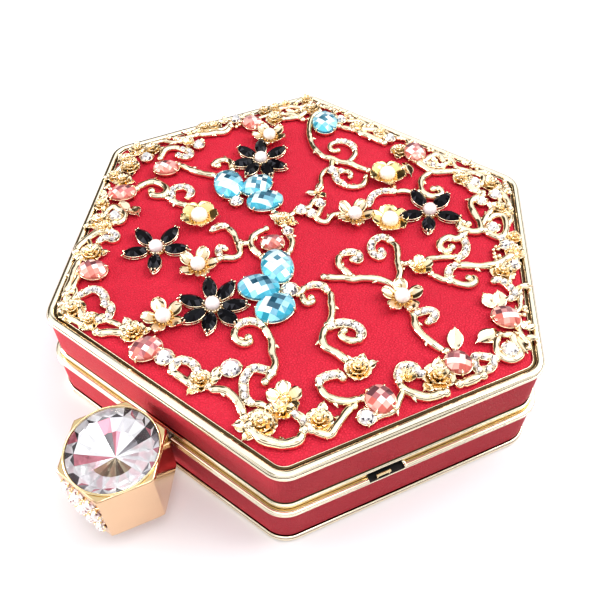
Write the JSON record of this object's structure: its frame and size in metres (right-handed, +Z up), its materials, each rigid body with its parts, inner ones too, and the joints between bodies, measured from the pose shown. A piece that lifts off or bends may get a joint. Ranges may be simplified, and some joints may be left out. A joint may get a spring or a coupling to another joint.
{
  "type": "minaudiere",
  "caption": "Six-sided hard-shelled evening box with leather panels, gilt frames, a jewelled filigree lid on a rear hinge and a gem-set press clasp.",
  "frame": {"origin": "centre of the hexagon on the bottom plane, in mid-width of the clasp side", "axes": "+Z up, +X along the side with the clasp, +Y towards the hinge, so the clasp faces -Y"},
  "size_m": [0.15, 0.1547, 0.0364],
  "materials": {
    "red_leather": "fine grain, semi-gloss",
    "gilt": "polished pale gold plating",
    "gilt_cast": "cast, polished gold plating",
    "plated_steel": "plain",
    "lining": "satin",
    "black_liner": "matte",
    "aqua_glass": "faceted, foiled back",
    "rose_glass": "faceted, foiled back",
    "black_glass": "faceted",
    "clear_glass": "faceted, foiled back",
    "pearl": "pearl lustre"
  },
  "bodies": {
    "base": {"base_shell": "plated_steel", "base_side_cover": "red_leather", "base_bottom_panel": "red_leather", "base_bottom_rim": "gilt", "base_seam_frame": "gilt", "base_lining": "lining", "base_hinge_leaf": "gilt", "base_hinge_rivets": "gilt", "hinge_pin": "plated_steel", "chain_notch_liners": "black_liner", "chain_bars": "gilt", "clasp_bracket": "plated_steel", "clasp_bracket_rivets": "gilt", "clasp_pivot_pin": "plated_steel", "clasp_spring": "plated_steel"},
    "lid": {"lid_shell": "plated_steel", "lid_side_cover": "red_leather", "lid_top_panel": "red_leather", "lid_top_rim": "gilt", "lid_seam_frame": "gilt", "lid_lining": "lining", "lid_hinge_leaf": "gilt", "lid_hinge_rivets": "gilt", "lid_catch": "plated_steel", "filigree_border": "gilt_cast", "filigree_vines": "gilt_cast", "flower_castings": "gilt_cast", "marquise_settings": "gilt_cast", "stone_settings": "gilt_cast", "aqua_stones": "aqua_glass", "rose_stones": "rose_glass", "black_marquise_stones": "black_glass", "clear_crystals": "clear_glass", "pave_crystals": "clear_glass", "flower_pearls": "pearl"},
    "clasp": {"clasp_housing": "gilt", "clasp_stone": "clear_glass", "clasp_collar": "gilt", "clasp_pave_stones": "clear_glass", "clasp_lever": "plated_steel"}
  },
  "joints": [
    {"name": "lid_open", "type": "hinge", "parent": "base", "child": "lid", "pos_m": [0, 0.0646, 0.0162], "axis": [-1, 0, 0], "range_deg": [0, 100]},
    {"name": "clasp_press", "type": "hinge", "parent": "base", "child": "clasp", "pos_m": [0, -0.0564, 0.0147], "axis": [1, 0, 0], "range_deg": [0, 7], "stiffness_Nm_per_rad": 0.3, "springref_deg": -17.19, "deforming": ["clasp_spring"]}
  ]
}
